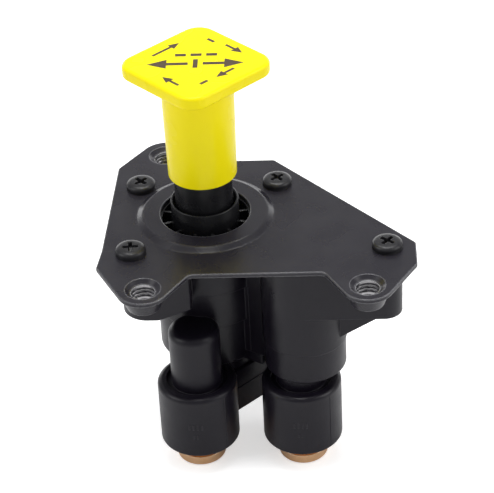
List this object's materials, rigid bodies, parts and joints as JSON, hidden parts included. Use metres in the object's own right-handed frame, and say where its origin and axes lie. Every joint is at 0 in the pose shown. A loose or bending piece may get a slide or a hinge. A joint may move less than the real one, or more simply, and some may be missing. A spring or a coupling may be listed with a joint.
{
  "type": "dash control valve",
  "caption": "Push-pull pneumatic dash control valve with a square yellow knob, flat mounting plate with tapped collars, check valve column and push-in tube ports below.",
  "frame": {"origin": "on the plunger's axis, at the mounting plate's top face, which lies against the back of the dash panel", "axes": "+Z along the plunger towards the driver, +X along the plate's straight front edge, +Y across the plate towards its long diagonal"},
  "size_m": [0.095, 0.0889, 0.1289],
  "materials": {
    "plate_black": "satin",
    "screw_black": "satin",
    "body_plastic": "satin",
    "knob_yellow": "gloss",
    "plunger_plastic": "satin",
    "brass": "machined",
    "collet_brass": "satin",
    "steel": "plated",
    "rubber": "matte"
  },
  "bodies": {
    "housing": {"mounting_plate": "plate_black", "plate_screws": "screw_black", "valve_body": "body_plastic", "return_spring": "steel", "plunger_guide": "plunger_plastic", "wiper_seal": "rubber", "plunger_seal": "rubber", "guide_seal": "rubber", "inlet_seat": "brass", "inlet_seat_seal": "rubber", "check_cap": "plunger_plastic", "check_cap_seals": "rubber", "delivery_retainer": "brass", "delivery_tube_seal": "rubber", "front_supply_retainer": "brass", "front_supply_tube_seal": "rubber", "rear_supply_retainer": "brass", "rear_supply_tube_seal": "rubber"},
    "plunger_assembly": {"knob": "knob_yellow", "knob_insert": "brass", "plunger": "plunger_plastic", "plunger_stem": "steel", "valve_disc": "rubber", "disc_washer": "steel", "disc_nut": "steel"},
    "check_shuttle_assembly": {"check_shuttle": "plunger_plastic", "shuttle_faces": "rubber"},
    "delivery_collet_body": {"delivery_collet": "collet_brass"},
    "front_supply_collet_body": {"front_supply_collet": "collet_brass"},
    "rear_supply_collet_body": {"rear_supply_collet": "collet_brass"}
  },
  "joints": [
    {"name": "plunger_slide", "type": "slide", "parent": "housing", "child": "plunger_assembly", "axis": [0, 0, -1], "range_m": [0, 0.0092], "stiffness_N_per_m": 1500, "springref_m": -0.008, "deforming": ["return_spring"]},
    {"name": "check_shuttle_slide", "type": "slide", "parent": "housing", "child": "check_shuttle_assembly", "axis": [0, 0, 1], "range_m": [0, 0.0038]},
    {"name": "delivery_collet_slide", "type": "slide", "parent": "housing", "child": "delivery_collet_body", "axis": [0, 0, 1], "range_m": [0, 0.0012]},
    {"name": "front_supply_collet_slide", "type": "slide", "parent": "housing", "child": "front_supply_collet_body", "axis": [0, 0, 1], "range_m": [0, 0.0012]},
    {"name": "rear_supply_collet_slide", "type": "slide", "parent": "housing", "child": "rear_supply_collet_body", "axis": [0, 0, 1], "range_m": [0, 0.0012]}
  ]
}
